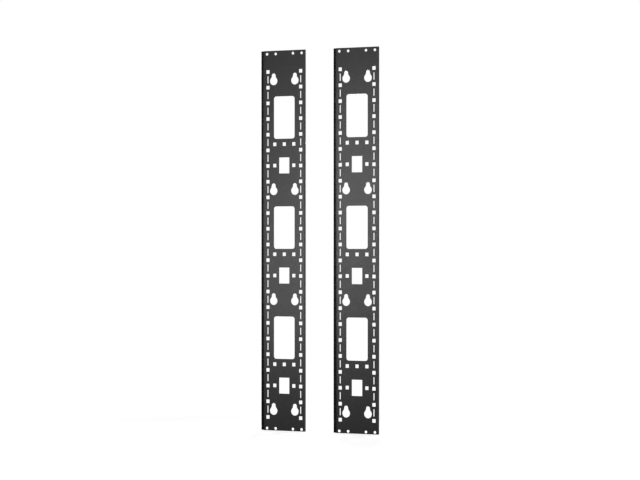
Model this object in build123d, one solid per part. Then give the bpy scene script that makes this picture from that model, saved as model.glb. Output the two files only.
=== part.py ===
from build123d import *
import os

# A pair of vertical cable manager panels for the zero-unit space at the side of a 42-unit rack.
# Each panel is one sheet of steel: punched flat, then folded forward along both long edges into a
# shallow channel. The punching repeats every seven pitches down the panel.
# Millimetres. Z is up, X runs across the pair, and the fronts look along -Y.
# The origin is midway between the panels, on the plane of their rear faces, and at the middle of
# the height between the top and the bottom row of screw holes.

# Sheet and folds
sheet_thickness = 1.5
bend_inner_radius = 1.5
flange_rise = 14.5
flange_end_setback = 1.5
flange_corner_radius = 3.0

# Edge columns: square holes on the pitch, with a strap slot midway between each two
pitch = 76.2
square_rows = 23
column_spacing = 177.8
column_inset = 28.3
square_side = 17.0
slot_width = 5.0
slot_length = 34.0
margin_above_first_square = 102.0
margin_below_last_square = 64.7

# Middle pattern, measured down from the first square hole of each repeat
pitches_per_repeat = 7
keyhole_drop = 44.8
window_drop = 120.4
window_height = 205.4
window_width = 112.0
window_corner_radius = 12.5
row_below_window = 26.5
small_window_below_row = 64.5
small_window_height = 77.1
small_window_width = 54.8
inner_square_spacing = 103.4

# Keyholes: a round entry, a narrower neck above it, and hollow shoulders between them
keyhole_spacing = 115.0
keyhole_entry_radius = 20.0
keyhole_neck_radius = 10.4
keyhole_rise = 26.0
keyhole_shoulder_radius = 14.0

# Screw holes along the top and bottom edges
screw_hole_radius = 6.5
screw_hole_edge_inset = 23.4
inner_screw_hole_spacing = 93.8
screw_holes_below_top = 15.6
screw_holes_above_bottom = 10.2

# The two panels stand apart, side by side
gap_between_panels = 155.1

# Sizes that follow from the ones above
panel_width = column_spacing + 2 * column_inset
column_length = (square_rows - 1) * pitch
panel_height = margin_above_first_square + column_length + margin_below_last_square
repeats = (square_rows - 1) // pitches_per_repeat
outer_screw_hole_spacing = panel_width - 2 * screw_hole_edge_inset
screw_row_distance = panel_height - screw_holes_below_top - screw_holes_above_bottom
top_z = screw_row_distance / 2 + screw_holes_below_top
bottom_z = top_z - panel_height
first_square_z = top_z - margin_above_first_square
bend_outer_radius = bend_inner_radius + sheet_thickness
web_width = panel_width - 2 * bend_outer_radius
panel_depth = sheet_thickness + flange_rise
panel_offset = (panel_width + gap_between_panels) / 2


def keyhole():
    """A round entry centred on the origin with its neck above."""
    entry = Circle(keyhole_entry_radius)
    neck = Pos(0, keyhole_rise / 2) * Rectangle(2 * keyhole_neck_radius, keyhole_rise)
    neck_end = Pos(0, keyhole_rise) * Circle(keyhole_neck_radius)
    outline = entry + neck + neck_end
    shoulders = outline.vertices().group_by(Axis.Y)[0]
    return fillet(shoulders, keyhole_shoulder_radius)


def edge_column(x):
    """The squares and the strap slots down one edge, as (shape, x, z)."""
    square = Rectangle(square_side, square_side)
    slot = Rectangle(slot_width, slot_length)
    holes = []
    for row in range(square_rows):
        holes.append((square, x, first_square_z - row * pitch))
    for row in range(square_rows - 1):
        holes.append((slot, x, first_square_z - (row + 0.5) * pitch))
    return holes


def keyhole_pair(start_z):
    """The two keyholes at the head of a repeat."""
    entry_z = start_z - keyhole_drop
    return [(keyhole(), side * keyhole_spacing / 2, entry_z) for side in (-1, 1)]


def middle_pattern(start_z):
    """Window, row of three squares, and small window between two squares, going down."""
    window_bottom = start_z - window_drop - window_height
    row_z = window_bottom - row_below_window
    small_window_z = row_z - small_window_below_row - small_window_height / 2
    square = Rectangle(square_side, square_side)
    holes = [
        (RectangleRounded(window_width, window_height, window_corner_radius), 0, window_bottom + window_height / 2),
        (Rectangle(small_window_width, small_window_height), 0, small_window_z),
    ]
    for across in (-1, 0, 1):
        holes.append((square, across * inner_square_spacing / 2, row_z))
    for across in (-1, 1):
        holes.append((square, across * inner_square_spacing / 2, small_window_z))
    return holes


def screw_holes():
    """Four holes along the top edge and four along the bottom edge."""
    hole = Circle(screw_hole_radius)
    holes = []
    for z in (top_z - screw_holes_below_top, bottom_z + screw_holes_above_bottom):
        for spacing in (outer_screw_hole_spacing, inner_screw_hole_spacing):
            for side in (-1, 1):
                holes.append((hole, side * spacing / 2, z))
    return holes


def punched_web():
    """The flat sheet between the two bends, with every hole, its rear face on Y = 0."""
    holes = screw_holes()
    for side in (-1, 1):
        holes += edge_column(side * column_spacing / 2)
    for repeat in range(repeats + 1):
        holes += keyhole_pair(first_square_z - repeat * pitches_per_repeat * pitch)
    for repeat in range(repeats):
        holes += middle_pattern(first_square_z - repeat * pitches_per_repeat * pitch)
    blank = Pos(0, (top_z + bottom_z) / 2) * Rectangle(web_width, panel_height)
    outlines = [(Pos(x, z) * shape).wire() for shape, x, z in holes]
    drawing = Face(blank.wire(), outlines)
    seen_from_front = Plane(origin=(0, 0, 0), x_dir=(1, 0, 0), z_dir=(0, -1, 0))
    return extrude(seen_from_front * drawing, amount=sheet_thickness)


def folded_edge():
    """The bend and the forward flange along the edge at +X, a little shorter than the web."""
    half = panel_width / 2
    bend_centre = (half - bend_outer_radius, -bend_outer_radius)
    with BuildPart() as edge:
        with BuildSketch(Plane.XY.offset(bottom_z + flange_end_setback)):
            with BuildLine():
                outside = CenterArc(bend_centre, bend_outer_radius, 0, 90)
                inside = CenterArc(bend_centre, bend_inner_radius, 0, 90)
                Line(outside @ 1, inside @ 1)
                Polyline(
                    outside @ 0,
                    (half, -panel_depth),
                    (half - sheet_thickness, -panel_depth),
                    inside @ 0,
                )
            make_face()
        extrude(amount=panel_height - 2 * flange_end_setback)
        free_corners = edge.edges().filter_by(Axis.X).group_by(Axis.Y)[0]
        fillet(free_corners, flange_corner_radius)
    return edge.part


def panel():
    """One panel, centred on X = 0."""
    edge = folded_edge()
    return punched_web() + edge + mirror(edge, about=Plane.YZ)


os.makedirs("parts", exist_ok=True)
for name, side in (("left_panel", -1), ("right_panel", 1)):
    placed = Pos(side * panel_offset, 0, 0) * panel()
    placed.label = name
    export_step(placed, f"parts/{name}.step")
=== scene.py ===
import bpy
import bmesh
import math
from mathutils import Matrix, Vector


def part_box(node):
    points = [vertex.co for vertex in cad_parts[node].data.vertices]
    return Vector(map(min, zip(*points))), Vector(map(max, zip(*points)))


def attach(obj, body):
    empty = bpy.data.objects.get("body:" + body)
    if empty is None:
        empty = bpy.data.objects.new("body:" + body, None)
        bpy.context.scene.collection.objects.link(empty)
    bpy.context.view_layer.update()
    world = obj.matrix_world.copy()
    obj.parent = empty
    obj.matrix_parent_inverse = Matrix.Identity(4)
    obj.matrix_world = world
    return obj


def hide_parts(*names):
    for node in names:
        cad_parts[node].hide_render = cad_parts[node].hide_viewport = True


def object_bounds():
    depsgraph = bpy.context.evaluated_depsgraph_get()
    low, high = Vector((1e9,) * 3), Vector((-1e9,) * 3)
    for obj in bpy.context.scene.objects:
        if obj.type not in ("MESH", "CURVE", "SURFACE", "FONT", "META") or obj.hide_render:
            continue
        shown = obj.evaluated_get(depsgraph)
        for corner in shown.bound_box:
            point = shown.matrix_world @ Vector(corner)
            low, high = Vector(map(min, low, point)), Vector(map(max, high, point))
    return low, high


# A pair of vertical cable manager panels: black powder-coated sheet steel, punched and folded.
# Metres. The panels' places and overall sizes come from the frame; the punching is given here.

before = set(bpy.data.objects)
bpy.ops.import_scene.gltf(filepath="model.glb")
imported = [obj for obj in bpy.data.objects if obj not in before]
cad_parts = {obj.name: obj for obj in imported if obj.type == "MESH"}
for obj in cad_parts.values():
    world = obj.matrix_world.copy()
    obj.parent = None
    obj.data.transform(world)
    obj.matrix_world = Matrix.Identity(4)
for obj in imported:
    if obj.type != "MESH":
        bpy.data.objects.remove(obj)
cad_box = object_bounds()

# Sheet
SHEET = 0.0015
BEND_INNER_RADIUS = 0.0015
BEND_OUTER_RADIUS = BEND_INNER_RADIUS + SHEET
BEND_LENGTH = (BEND_INNER_RADIUS + SHEET / 2) * math.pi / 2
FLANGE_END_SETBACK = 0.0015
FLANGE_CORNER_RADIUS = 0.003
WEB_CORNER_RADIUS = 0.0006
NOTCH_INSET = 0.0006
EDGE_ROUNDING = 0.0003

# Edge columns
PITCH = 0.0762
SQUARE_ROWS = 23
COLUMN_SPACING = 0.1778
SQUARE_SIDE = 0.017
SLOT_WIDTH = 0.005
SLOT_LENGTH = 0.034
PUNCH_CORNER_RADIUS = 0.0005
FIRST_SQUARE_BELOW_TOP = 0.102

# Middle pattern. The two drops are measured down from the first square hole of each repeat
REPEAT_LENGTH = 7 * PITCH
REPEATS = 3
KEYHOLE_DROP = 0.0448
WINDOW_DROP = 0.1204
WINDOW_HEIGHT = 0.2054
WINDOW_WIDTH = 0.112
WINDOW_CORNER_RADIUS = 0.0125
ROW_BELOW_WINDOW = 0.0265
SMALL_WINDOW_BELOW_ROW = 0.0645
SMALL_WINDOW_HEIGHT = 0.0771
SMALL_WINDOW_WIDTH = 0.0548
INNER_SQUARE_SPACING = 0.1034

# Keyholes
KEYHOLE_SPACING = 0.115
KEYHOLE_ENTRY_RADIUS = 0.020
KEYHOLE_NECK_RADIUS = 0.0104
KEYHOLE_RISE = 0.026
KEYHOLE_SHOULDER_RADIUS = 0.014

# Screw holes
SCREW_HOLE_RADIUS = 0.0065
SCREW_HOLE_EDGE_INSET = 0.0234
INNER_SCREW_HOLE_SPACING = 0.0938
SCREW_HOLES_BELOW_TOP = 0.0156
SCREW_HOLES_ABOVE_BOTTOM = 0.0102

# How many steps each curve is made of
BEND_STEPS = 8
ROUNDING_STEPS = 3
WEB_CORNER_STEPS = 3
FLANGE_CORNER_STEPS = 10
PUNCH_CORNER_STEPS = 3
WINDOW_CORNER_STEPS = 14
SCREW_HOLE_STEPS = 40
KEYHOLE_ENTRY_STEPS = 48
KEYHOLE_SHOULDER_STEPS = 8
KEYHOLE_NECK_STEPS = 24


def arc(x, z, radius, start, end, steps):
    """Points along an arc from start to end degrees, both ends included."""
    points = []
    for step in range(steps + 1):
        angle = math.radians(start + (end - start) * step / steps)
        points.append((x + radius * math.cos(angle), z + radius * math.sin(angle)))
    return points


def rounded_rectangle(width, height, radius, steps):
    """A closed loop, anticlockwise, centred on the origin."""
    across = width / 2 - radius
    up = height / 2 - radius
    loop = arc(across, up, radius, 0, 90, steps)
    loop += arc(-across, up, radius, 90, 180, steps)
    loop += arc(-across, -up, radius, 180, 270, steps)
    loop += arc(across, -up, radius, 270, 360, steps)
    return loop


def keyhole():
    """A round entry centred on the origin, hollow shoulders, and a neck with a round end above."""
    side = KEYHOLE_NECK_RADIUS + KEYHOLE_SHOULDER_RADIUS
    reach = KEYHOLE_ENTRY_RADIUS + KEYHOLE_SHOULDER_RADIUS
    shoulder_z = math.sqrt(reach ** 2 - side ** 2)
    meet = math.degrees(math.atan2(shoulder_z, side))
    entry = arc(0, 0, KEYHOLE_ENTRY_RADIUS, 180 - meet, 360 + meet, KEYHOLE_ENTRY_STEPS)
    right = arc(side, shoulder_z, KEYHOLE_SHOULDER_RADIUS, 180 + meet, 180, KEYHOLE_SHOULDER_STEPS)
    neck = arc(0, KEYHOLE_RISE, KEYHOLE_NECK_RADIUS, 0, 180, KEYHOLE_NECK_STEPS)
    left = arc(-side, shoulder_z, KEYHOLE_SHOULDER_RADIUS, 0, -meet, KEYHOLE_SHOULDER_STEPS)
    return entry + right[1:] + neck + left[:-1]


def moved(loop, x, z):
    return [(px + x, pz + z) for px, pz in loop]


def outward(start, end):
    """The unit normal of one side of an anticlockwise loop, pointing out of the loop."""
    across = end[0] - start[0]
    up = end[1] - start[1]
    length = math.hypot(across, up)
    return up / length, -across / length


def grown(loop, distance):
    """The anticlockwise loop with every side moved outwards, or inwards where distance is negative."""
    result = []
    for i, (x, z) in enumerate(loop):
        before_x, before_z = outward(loop[i - 1], loop[i])
        after_x, after_z = outward(loop[i], loop[(i + 1) % len(loop)])
        scale = distance / (1 + before_x * after_x + before_z * after_z)
        result.append((x + (before_x + after_x) * scale, z + (before_z + after_z) * scale))
    return result


def punched(width, height):
    """A rectangular punching with small corner radii."""
    return rounded_rectangle(width, height, PUNCH_CORNER_RADIUS, PUNCH_CORNER_STEPS)


def edge_column_holes(first):
    """Squares down both edge columns from the height called first, and a slot between each two."""
    square = punched(SQUARE_SIDE, SQUARE_SIDE)
    slot = punched(SLOT_WIDTH, SLOT_LENGTH)
    loops = []
    for side in (-1, 1):
        x = side * COLUMN_SPACING / 2
        for row in range(SQUARE_ROWS):
            loops.append(moved(square, x, first - row * PITCH))
        for row in range(SQUARE_ROWS - 1):
            loops.append(moved(slot, x, first - (row + 0.5) * PITCH))
    return loops


def keyholes(first):
    """A pair near the start of each repeat, and one more pair below the last repeat."""
    shape = keyhole()
    loops = []
    for repeat in range(REPEATS + 1):
        start = first - repeat * REPEAT_LENGTH
        for side in (-1, 1):
            loops.append(moved(shape, side * KEYHOLE_SPACING / 2, start - KEYHOLE_DROP))
    return loops


def middle_holes(first):
    """In each repeat two windows, three squares between them, and one each side of the lower window."""
    square = punched(SQUARE_SIDE, SQUARE_SIDE)
    window = rounded_rectangle(WINDOW_WIDTH, WINDOW_HEIGHT, WINDOW_CORNER_RADIUS, WINDOW_CORNER_STEPS)
    small_window = punched(SMALL_WINDOW_WIDTH, SMALL_WINDOW_HEIGHT)
    loops = []
    for repeat in range(REPEATS):
        start = first - repeat * REPEAT_LENGTH
        window_bottom = start - WINDOW_DROP - WINDOW_HEIGHT
        row_z = window_bottom - ROW_BELOW_WINDOW
        small_z = row_z - SMALL_WINDOW_BELOW_ROW - SMALL_WINDOW_HEIGHT / 2
        loops.append(moved(window, 0, window_bottom + WINDOW_HEIGHT / 2))
        loops.append(moved(small_window, 0, small_z))
        for across in (-1, 0, 1):
            loops.append(moved(square, across * INNER_SQUARE_SPACING / 2, row_z))
        for across in (-1, 1):
            loops.append(moved(square, across * INNER_SQUARE_SPACING / 2, small_z))
    return loops


def screw_holes(top, bottom, width):
    """A row of four near the top and another near the bottom."""
    screw_hole = arc(0, 0, SCREW_HOLE_RADIUS, 0, 360, SCREW_HOLE_STEPS)[:-1]
    loops = []
    for z in (top - SCREW_HOLES_BELOW_TOP, bottom + SCREW_HOLES_ABOVE_BOTTOM):
        for spacing in (width - 2 * SCREW_HOLE_EDGE_INSET, INNER_SCREW_HOLE_SPACING):
            for side in (-1, 1):
                loops.append(moved(screw_hole, side * spacing / 2, z))
    return loops


def holes(top, bottom, width):
    """Every hole of one panel as a loop, in the flat sheet's own X and the frame's Z."""
    first = top - FIRST_SQUARE_BELOW_TOP
    return edge_column_holes(first) + keyholes(first) + middle_holes(first) + screw_holes(top, bottom, width)


def quarter_outline(half_web, half_flat, half_height):
    """The upper right quarter of the flat blank's outline, from the flange's free edge inwards.

    Each point up to the bend's first line has a partner in the lower quarter, and the strip between
    two such pairs is one long face. The other points go round the notch and the web's corner.
    """
    flange_top = half_height - FLANGE_END_SETBACK
    columns = arc(
        half_flat - FLANGE_CORNER_RADIUS,
        flange_top - FLANGE_CORNER_RADIUS,
        FLANGE_CORNER_RADIUS,
        0,
        90,
        FLANGE_CORNER_STEPS,
    )
    for step in range(BEND_STEPS, -1, -1):
        columns.append((half_web + BEND_LENGTH * step / BEND_STEPS, flange_top))
    notch_x = half_web - NOTCH_INSET
    corner = [(notch_x, flange_top)]
    corner += arc(
        notch_x - WEB_CORNER_RADIUS,
        half_height - WEB_CORNER_RADIUS,
        WEB_CORNER_RADIUS,
        0,
        90,
        WEB_CORNER_STEPS,
    )
    return columns, corner


def full_outline(quarter):
    """The whole outline, anticlockwise, from its upper right quarter."""
    upper = quarter + [(-x, z) for x, z in reversed(quarter)]
    return upper + [(-x, -z) for x, z in upper]


def four_quarters(loop):
    """The loop cut into its quarters, each from a flange's free edge inwards, as upper and lower pairs."""
    count = len(loop) // 4
    right_upper = loop[:count]
    left_upper = loop[count:2 * count][::-1]
    left_lower = loop[2 * count:3 * count]
    right_lower = loop[3 * count:][::-1]
    return (right_upper, right_lower), (left_upper, left_lower)


def folded_place(x, z, depth, half_width, front):
    """Where a point of the flat blank goes. depth is measured from the front face of the sheet."""
    half_web = half_width - BEND_OUTER_RADIUS
    side = 1 if x >= 0 else -1
    out = abs(x) - half_web
    radius = BEND_INNER_RADIUS + depth
    if out <= 0:
        return (x, front + depth, z)
    centre_y = front - BEND_INNER_RADIUS
    if out <= BEND_LENGTH:
        turn = out / BEND_LENGTH * math.pi / 2
        return (side * (half_web + radius * math.sin(turn)), centre_y + radius * math.cos(turn), z)
    return (side * (half_web + radius), centre_y - (out - BEND_LENGTH), z)


def rounding_profile():
    """Pairs of how far the edge stands back and how deep it lies, from the front face to the rear."""
    rings = []
    for step in range(ROUNDING_STEPS + 1):
        turn = math.pi / 2 * step / ROUNDING_STEPS
        rings.append((EDGE_ROUNDING * (1 - math.sin(turn)), EDGE_ROUNDING * (1 - math.cos(turn))))
    return rings + [(back, SHEET - depth) for back, depth in reversed(rings)]


def panel_mesh(name, low, high):
    """One punched and folded sheet as a closed mesh, filling the box from low to high."""
    half_width = (high[0] - low[0]) / 2
    half_height = (high[2] - low[2]) / 2
    middle_x = (high[0] + low[0]) / 2
    middle_z = (high[2] + low[2]) / 2
    half_web = half_width - BEND_OUTER_RADIUS
    front = high[1] - SHEET
    flange_flat = front - BEND_INNER_RADIUS - low[1]
    columns, corner = quarter_outline(half_web, half_web + BEND_LENGTH + flange_flat, half_height)
    outline = moved(full_outline(columns + corner), 0, middle_z)
    bend_line = len(columns) - 1
    mesh = bmesh.new()
    profile = rounding_profile()

    def ring(loop, depth):
        places = [folded_place(x, z, depth, half_width, front) for x, z in loop]
        return [mesh.verts.new((middle_x + x, y, z)) for x, y, z in places]

    def skirt(loop, outwards):
        """The rounded edge of one loop. Gives its front ring and its rear ring."""
        rings = [ring(grown(loop, outwards * back), depth) for back, depth in profile]
        for first, second in zip(rings, rings[1:]):
            for i in range(len(loop)):
                corners = [first[i - 1], first[i], second[i], second[i - 1]]
                if outwards < 0:
                    corners.reverse()
                mesh.faces.new(corners).smooth = True
        return rings[0], rings[-1]

    def cover(edge_ring, hole_rings, towards):
        """The front of the sheet where towards is -1, or its rear where it is 1."""
        fill = []
        quarters = four_quarters(edge_ring)
        for side, (upper, lower) in zip((1, -1), quarters):
            for i in range(bend_line):
                corners = [upper[i], upper[i + 1], lower[i + 1], lower[i]]
                if side * towards > 0:
                    corners.reverse()
                mesh.faces.new(corners).smooth = i >= bend_line - BEND_STEPS
            fill.append((upper[bend_line], lower[bend_line]))
            for half in (upper, lower):
                fill += zip(half[bend_line:], half[bend_line + 1:])
        for right, left in zip(*quarters):
            fill.append((right[-1], left[-1]))
        for loop in hole_rings:
            fill += zip(loop, loop[1:] + loop[:1])
        edges = [mesh.edges.get(ends) for ends in fill]
        made = bmesh.ops.triangle_fill(mesh, use_beauty=True, edges=edges, normal=(0, towards, 0))
        for face in made["geom"]:
            if isinstance(face, bmesh.types.BMFace) and face.normal.y * towards < 0:
                face.normal_flip()

    edge_rings = skirt(outline, -1)
    hole_rings = [skirt(loop, 1) for loop in holes(high[2], low[2], 2 * half_width)]
    cover(edge_rings[0], [rings[0] for rings in hole_rings], -1)
    cover(edge_rings[1], [rings[1] for rings in hole_rings], 1)

    data = bpy.data.meshes.new(name)
    mesh.to_mesh(data)
    mesh.free()
    piece = bpy.data.objects.new(name, data)
    bpy.context.scene.collection.objects.link(piece)
    return piece


def powder_coat():
    """Satin black powder coat: near-black paint with a fine orange-peel surface."""
    material = bpy.data.materials.new("black_powder_coat")
    material.use_nodes = True
    nodes = material.node_tree.nodes
    links = material.node_tree.links
    shader = nodes["Principled BSDF"]
    place = nodes.new("ShaderNodeTexCoord")

    def noise(scale, detail):
        node = nodes.new("ShaderNodeTexNoise")
        node.inputs["Scale"].default_value = scale
        node.inputs["Detail"].default_value = detail
        links.new(place.outputs["Object"], node.inputs["Vector"])
        return node

    def spread(node, low, high):
        """The middle of the noise's range, drawn out to run from low to high."""
        ramp = nodes.new("ShaderNodeMapRange")
        ramp.inputs["From Min"].default_value = 0.3
        ramp.inputs["From Max"].default_value = 0.7
        ramp.inputs["To Min"].default_value = low
        ramp.inputs["To Max"].default_value = high
        links.new(node.outputs["Fac"], ramp.inputs["Value"])
        return ramp

    def bump(node, strength, distance):
        relief = nodes.new("ShaderNodeBump")
        relief.inputs["Strength"].default_value = strength
        relief.inputs["Distance"].default_value = distance
        links.new(node.outputs["Fac"], relief.inputs["Height"])
        return relief

    tone = nodes.new("ShaderNodeMix")
    tone.data_type = "RGBA"
    tone.inputs["A"].default_value = (0.023, 0.023, 0.0235, 1)
    tone.inputs["B"].default_value = (0.027, 0.027, 0.0275, 1)
    mottle = spread(noise(scale=60, detail=3), low=0, high=1)
    links.new(mottle.outputs["Result"], tone.inputs["Factor"])
    links.new(tone.outputs["Result"], shader.inputs["Base Color"])

    roughness = spread(noise(scale=25, detail=2), low=0.385, high=0.415)
    links.new(roughness.outputs["Result"], shader.inputs["Roughness"])
    shader.inputs["Specular IOR Level"].default_value = 0.15

    peel = bump(noise(scale=700, detail=2), strength=0.7, distance=0.0004)
    grain = bump(noise(scale=3000, detail=1), strength=0.6, distance=0.0001)
    links.new(peel.outputs["Normal"], grain.inputs["Normal"])
    links.new(grain.outputs["Normal"], shader.inputs["Normal"])
    return material


def rays_that_see_the_background(nodes, links):
    """1 for the camera's own rays and for those that reach the background by a gloss or through glass."""
    light_path = nodes.new("ShaderNodeLightPath")
    seen = light_path.outputs["Is Camera Ray"]
    for kind in ("Is Glossy Ray", "Is Transmission Ray"):
        either = nodes.new("ShaderNodeMath")
        either.operation = "MAXIMUM"
        links.new(seen, either.inputs[0])
        links.new(light_path.outputs[kind], either.inputs[1])
        seen = either.outputs[0]
    return seen


def white_surroundings():
    """A white background to look at, which lights the object only dimly."""
    light_given = 0.15
    white_seen = 1.0
    world = bpy.data.worlds.new("surroundings")
    bpy.context.scene.world = world
    world.use_nodes = True
    nodes = world.node_tree.nodes
    links = world.node_tree.links
    lighting = nodes["Background"]
    lighting.inputs["Color"].default_value = (1, 1, 1, 1)
    lighting.inputs["Strength"].default_value = light_given
    white = nodes.new("ShaderNodeBackground")
    white.inputs["Color"].default_value = (1, 1, 1, 1)
    white.inputs["Strength"].default_value = white_seen
    choose = nodes.new("ShaderNodeMixShader")
    links.new(rays_that_see_the_background(nodes, links), choose.inputs[0])
    links.new(lighting.outputs[0], choose.inputs[1])
    links.new(white.outputs[0], choose.inputs[2])
    links.new(choose.outputs[0], nodes["World Output"].inputs["Surface"])


def floor_glow(nodes, links):
    """What the lamps leave short of white, more of it further from the middle of the floor.

    It shows to the camera and in reflections, and adds no diffuse light.
    """
    lit_within = 0.4
    unlit_beyond = 1.6
    glow_where_lit = 0.78
    glow_where_unlit = 0.89
    place = nodes.new("ShaderNodeTexCoord")
    away = nodes.new("ShaderNodeVectorMath")
    away.operation = "LENGTH"
    links.new(place.outputs["Object"], away.inputs[0])
    needed = nodes.new("ShaderNodeMapRange")
    needed.interpolation_type = "SMOOTHSTEP"
    needed.inputs["From Min"].default_value = lit_within
    needed.inputs["From Max"].default_value = unlit_beyond
    needed.inputs["To Min"].default_value = glow_where_lit
    needed.inputs["To Max"].default_value = glow_where_unlit
    links.new(away.outputs["Value"], needed.inputs["Value"])
    glow = nodes.new("ShaderNodeMath")
    glow.operation = "MULTIPLY"
    links.new(needed.outputs["Result"], glow.inputs[0])
    links.new(rays_that_see_the_background(nodes, links), glow.inputs[1])
    return glow.outputs[0]


def pale_floor(height):
    """A wide pale floor, as white as the background where it is lit, with the object's shadow on it."""
    half_side = 9.0
    data = bpy.data.meshes.new("floor")
    corners = [(x * half_side, y * half_side, 0) for x, y in ((-1, -1), (1, -1), (1, 1), (-1, 1))]
    data.from_pydata(corners, [], [(0, 1, 2, 3)])
    floor = bpy.data.objects.new("floor", data)
    bpy.context.scene.collection.objects.link(floor)
    floor.location = (0, 0, height)
    material = bpy.data.materials.new("pale_floor")
    material.use_nodes = True
    data.materials.append(material)
    nodes = material.node_tree.nodes
    links = material.node_tree.links
    shader = nodes["Principled BSDF"]
    shader.inputs["Base Color"].default_value = (0.8, 0.8, 0.8, 1)
    shader.inputs["Roughness"].default_value = 0.9
    shader.inputs["Specular IOR Level"].default_value = 0.0
    shader.inputs["Emission Color"].default_value = (1, 1, 1, 1)
    links.new(floor_glow(nodes, links), shader.inputs["Emission Strength"])


def softbox(name, place, target, side, spread, power):
    """A square soft lamp that shines within spread degrees."""
    data = bpy.data.lights.new(name, "AREA")
    data.shape = "SQUARE"
    data.size = side
    data.spread = math.radians(spread)
    data.energy = power
    lamp = bpy.data.objects.new(name, data)
    bpy.context.scene.collection.objects.link(lamp)
    lamp.location = place
    lamp.rotation_euler = (Vector(target) - Vector(place)).to_track_quat("-Z", "Y").to_euler()


def studio_lamps():
    """Three soft lamps in front, in a row that slants up from left to right, and one behind."""
    ahead = 1.8
    behind = 1.5
    softbox("low", place=(-0.98, -ahead, -0.34), target=(0, 0, -0.1), side=0.5, spread=70, power=2.7)
    softbox("middle", place=(-0.46, -ahead, 0.15), target=(0, 0, 0.3), side=0.5, spread=80, power=3.4)
    softbox("high", place=(-0.18, -ahead, 0.57), target=(0, 0, 0.6), side=0.5, spread=80, power=3.4)
    softbox("rear", place=(-0.6, behind, 0.3), target=(0, 0, 0.1), side=0.6, spread=100, power=13.0)


def camera():
    """Level, 26 degrees round to the right, far off with a long lens, as in the photograph."""
    distance = 10.94
    eye_height = -0.0178
    turn = math.radians(26.134)
    data = bpy.data.cameras.new("camera")
    data.sensor_width = 36.0
    data.lens = 128.04
    data.shift_x = -0.0007
    data.shift_y = 0.00755
    data.dof.use_dof = False
    eye = bpy.data.objects.new("camera", data)
    bpy.context.scene.collection.objects.link(eye)
    eye.location = (distance * math.sin(turn), -distance * math.cos(turn), eye_height)
    eye.rotation_euler = (math.radians(90), 0, turn)
    bpy.context.scene.camera = eye


camera()
coat = powder_coat()
for node in ("left_panel", "right_panel"):
    low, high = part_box(node)
    sheet = panel_mesh(node + "_sheet", low, high)
    sheet.data.materials.append(coat)
    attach(sheet, "root")
    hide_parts(node)

white_surroundings()
pale_floor(cad_box[0][2])
studio_lamps()

bpy.context.scene.view_settings.view_transform = "Standard"
